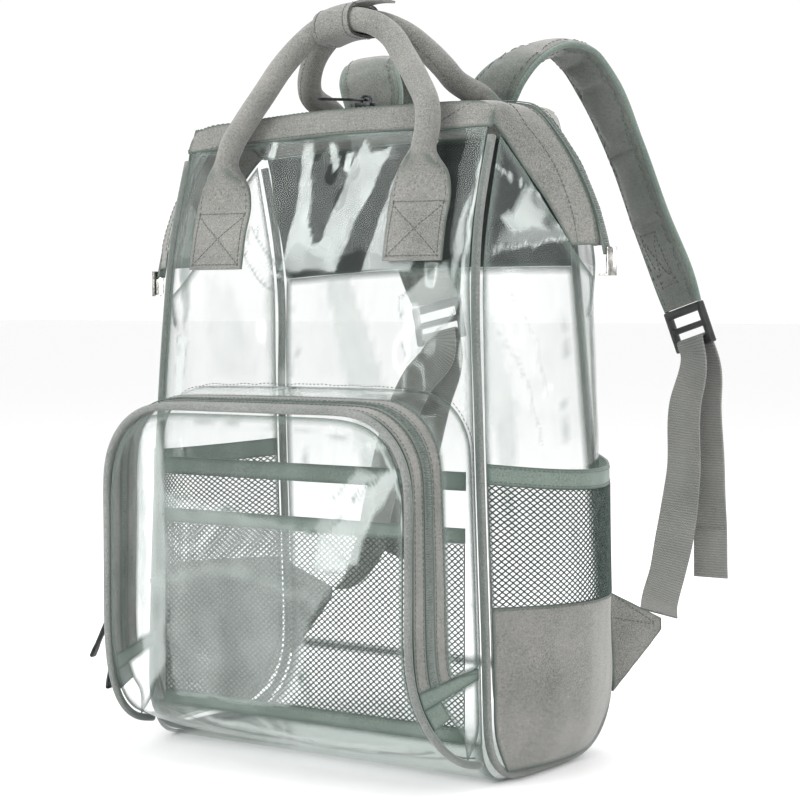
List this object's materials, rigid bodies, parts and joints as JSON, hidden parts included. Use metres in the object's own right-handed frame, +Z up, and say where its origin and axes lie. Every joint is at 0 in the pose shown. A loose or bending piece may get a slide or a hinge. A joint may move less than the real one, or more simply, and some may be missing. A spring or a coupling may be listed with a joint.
{
  "type": "clear backpack",
  "caption": "Clear vinyl backpack with a framed zip mouth, a domed front zip pocket, mesh side pockets, twin grab handles and padded shoulder straps.",
  "frame": {"origin": "on the floor, under the middle of the base", "axes": "+Z up; +Y from the front pocket to the shoulder straps; +X to the right as seen from the front"},
  "size_m": [0.3574, 0.2878, 0.4729],
  "materials": {
    "clear_vinyl": "clear, glossy",
    "grey_fabric": "warm grey woven polyester",
    "grey_webbing": "grey ribbed webbing",
    "mesh_binding": "grey-green elastic binding",
    "mesh_net": "dark grey netting",
    "zip_coil": "grey-green nylon coil",
    "clip_metal": "polished",
    "slider_metal": "dark gunmetal",
    "buckle_plastic": "black, satin"
  },
  "bodies": {
    "bag": {"front_panel": "clear_vinyl", "back_panel": "clear_vinyl", "back_yoke": "grey_fabric", "base_panel": "clear_vinyl", "side_panel_right": "clear_vinyl", "side_panel_left": "clear_vinyl", "side_piping_right": "grey_fabric", "side_piping_left": "grey_fabric", "collar_front": "grey_fabric", "collar_back": "grey_fabric", "mouth_coil": "zip_coil", "end_clip_right": "clip_metal", "end_clip_left": "clip_metal", "pocket_piping": "grey_fabric", "pocket_tape_outer": "grey_fabric", "pocket_coil": "zip_coil", "pocket_tape_inner": "grey_fabric", "pocket_gusset": "clear_vinyl", "pocket_tab_right": "grey_fabric", "pocket_leg_right": "grey_fabric", "pocket_foot_right": "clear_vinyl", "pocket_tab_left": "grey_fabric", "pocket_leg_left": "grey_fabric", "pocket_foot_left": "clear_vinyl", "pocket_face": "clear_vinyl", "organiser_binding_bottom": "mesh_binding", "organiser_net": "mesh_net", "organiser_binding_top": "mesh_binding", "organiser_slip_band": "mesh_binding", "side_fabric_right": "grey_fabric", "side_binding_right": "mesh_binding", "side_net_right": "mesh_net", "side_fabric_left": "grey_fabric", "side_binding_left": "mesh_binding", "side_net_left": "mesh_net", "handle_front": "grey_fabric", "handle_back": "grey_fabric", "handle_wrap": "grey_fabric", "strap_pad_right": "grey_fabric", "ladder_lock_right": "buckle_plastic", "webbing_right": "grey_webbing", "strap_pad_left": "grey_fabric", "ladder_lock_left": "buckle_plastic", "webbing_left": "grey_webbing", "anchor_tab_right": "grey_fabric", "anchor_tab_left": "grey_fabric", "mouth_slider": "slider_metal", "pocket_upper_slider": "slider_metal", "pocket_lower_slider": "slider_metal"},
    "mouth_pull": {"mouth_pull": "slider_metal"},
    "pocket_upper_pull": {"pocket_upper_pull": "slider_metal"},
    "pocket_lower_pull": {"pocket_lower_pull": "slider_metal"}
  },
  "joints": [
    {"name": "mouth_pull_lift", "type": "hinge", "parent": "bag", "child": "mouth_pull", "pos_m": [-0.001, -0.012, 0.4126], "axis": [0, 1, 0], "range_deg": [0, 40]},
    {"name": "pocket_upper_pull_swing", "type": "hinge", "parent": "bag", "child": "pocket_upper_pull", "pos_m": [-0.12423, -0.11528, 0.09241], "axis": [-0.1597, 0.9872, 0], "range_deg": [-6, 115]},
    {"name": "pocket_lower_pull_swing", "type": "hinge", "parent": "bag", "child": "pocket_lower_pull", "pos_m": [-0.12475, -0.11433, 0.07624], "axis": [-0.1642, 0.9864, 0], "range_deg": [-4, 10]}
  ]
}
